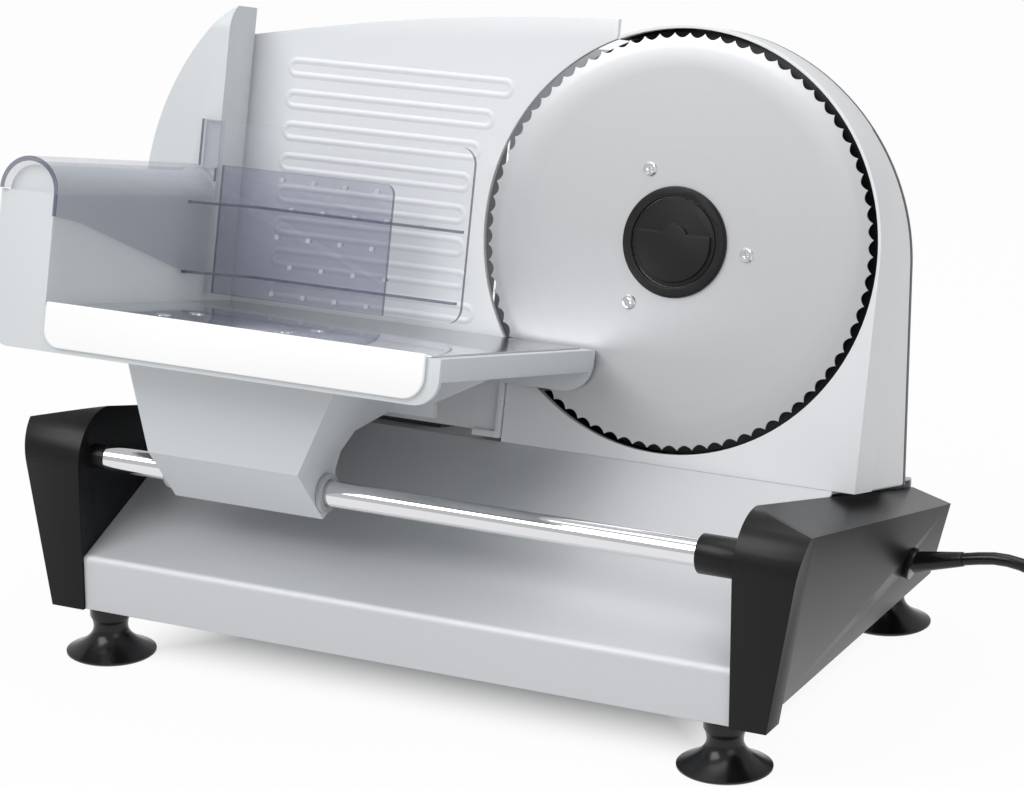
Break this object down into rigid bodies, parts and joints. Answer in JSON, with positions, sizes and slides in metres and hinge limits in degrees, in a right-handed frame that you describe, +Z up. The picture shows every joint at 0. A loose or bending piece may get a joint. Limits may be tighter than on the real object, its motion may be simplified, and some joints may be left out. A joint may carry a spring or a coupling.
{
  "type": "food slicer",
  "caption": "Electric food slicer with a leaning round blade, sliding food carriage, clear pusher, adjustable stop plate and a sloped base on suction feet.",
  "frame": {"origin": "middle of the footprint, on the table under the suction feet", "axes": "+X along the rail towards the blade end, +Y to the back, +Z up"},
  "size_m": [0.5614, 0.326, 0.2905],
  "materials": {
    "base_pan": "satin silver paint",
    "bottom_plate": "grey paint",
    "cap_left": "satin black",
    "cap_right": "satin black",
    "housing_shell": "satin light grey",
    "housing_band": "satin light grey",
    "rear_cover": "fine texture",
    "gear_plate": "plain",
    "spindle": "ground",
    "motor": "plain",
    "motor_clamp": "plain",
    "terminal_block": "plain",
    "switch_frame": "plain",
    "rocker": "gloss",
    "rod": "polished",
    "socket_left": "plain",
    "socket_right": "plain",
    "foot_front_left": "gloss",
    "foot_front_right": "gloss",
    "foot_rear_left": "gloss",
    "foot_rear_right": "gloss",
    "base_screws": "plated",
    "cord_gland": "matt",
    "guide_rods": "ground",
    "dial_post": "fine texture",
    "dial_plate": "plain",
    "blade": "ring brushed",
    "blade_gear": "plain",
    "blade_screws": "plated",
    "hub_ring": "plain",
    "lock_knob": "plain",
    "motor_pinion": "plain",
    "fence": "satin light grey",
    "fence_bracket": "cast",
    "knob_shaft": "ground",
    "thickness_knob": "plain",
    "carriage_tray": "fine texture",
    "carriage_guard": "fine texture",
    "front_strip": "gloss white",
    "carriage_arm": "fine texture",
    "glide_leg": "plain",
    "bushings": "plain",
    "steel_insert": "polished",
    "arm_screws": "plated",
    "pusher": "clear",
    "spike_plate": "clear",
    "cord": "matt",
    "cord_coil": "matt",
    "plug": "plain"
  },
  "bodies": {
    "base": {"base_pan": "base_pan", "bottom_plate": "bottom_plate", "cap_left": "cap_left", "cap_right": "cap_right", "housing_shell": "housing_shell", "housing_band": "housing_band", "rear_cover": "rear_cover", "gear_plate": "gear_plate", "spindle": "spindle", "motor": "motor", "motor_clamp": "motor_clamp", "terminal_block": "terminal_block", "switch_frame": "switch_frame", "rod": "rod", "socket_left": "socket_left", "socket_right": "socket_right", "foot_front_left": "foot_front_left", "foot_front_right": "foot_front_right", "foot_rear_left": "foot_rear_left", "foot_rear_right": "foot_rear_right", "base_screws": "base_screws", "cord_gland": "cord_gland", "guide_rods": "guide_rods", "dial_post": "dial_post", "dial_plate": "dial_plate", "cord": "cord", "cord_coil": "cord_coil", "plug": "plug"},
    "rocker": {"rocker": "rocker"},
    "blade_unit": {"blade": "blade", "blade_gear": "blade_gear", "blade_screws": "blade_screws", "hub_ring": "hub_ring"},
    "hub_lock": {"lock_knob": "lock_knob"},
    "drive_pinion": {"motor_pinion": "motor_pinion"},
    "stop_plate": {"fence": "fence", "fence_bracket": "fence_bracket"},
    "thickness_control": {"knob_shaft": "knob_shaft", "thickness_knob": "thickness_knob"},
    "carriage": {"carriage_tray": "carriage_tray", "carriage_guard": "carriage_guard", "front_strip": "front_strip", "carriage_arm": "carriage_arm", "glide_leg": "glide_leg", "bushings": "bushings", "steel_insert": "steel_insert", "arm_screws": "arm_screws"},
    "pusher_unit": {"pusher": "pusher", "spike_plate": "spike_plate"}
  },
  "joints": [
    {"name": "blade_spin", "type": "hinge", "parent": "base", "child": "blade_unit", "pos_m": [0.0687, 0.04195, 0.1945], "axis": [0, 0.9744, -0.225], "continuous": true},
    {"name": "pinion_spin", "type": "hinge", "parent": "base", "child": "drive_pinion", "pos_m": [0.0937, 0.03221, 0.15231], "axis": [0, 0.9744, -0.225], "continuous": true},
    {"name": "hub_lock_turn", "type": "hinge", "parent": "blade_unit", "child": "hub_lock", "pos_m": [0.0687, 0.04195, 0.1945], "axis": [0, 0.9744, -0.225], "range_deg": [0, 90]},
    {"name": "carriage_slide", "type": "slide", "parent": "base", "child": "carriage", "axis": [1, 0, 0], "range_m": [-0.03, 0.17]},
    {"name": "pusher_slide", "type": "slide", "parent": "carriage", "child": "pusher_unit", "axis": [0, 0.9744, -0.225], "range_m": [-0.1, 0]},
    {"name": "stop_slide", "type": "slide", "parent": "base", "child": "stop_plate", "axis": [0, 0.9744, -0.225], "range_m": [0, 0.015]},
    {"name": "thickness_turn", "type": "hinge", "parent": "base", "child": "thickness_control", "pos_m": [-0.0863, 0.03858, 0.17988], "axis": [0, 0.9744, -0.225], "range_deg": [0, 330]},
    {"name": "rocker_tilt", "type": "hinge", "parent": "base", "child": "rocker", "pos_m": [0.0137, 0.08345, 0.1945], "axis": [1, 0, 0], "range_deg": [-12, 12]}
  ],
  "couplings": [
    {"joint": "pinion_spin", "follows": "blade_spin", "ratio": -4},
    {"joint": "thickness_turn", "follows": "stop_slide", "rad_per_m": 383.9}
  ]
}
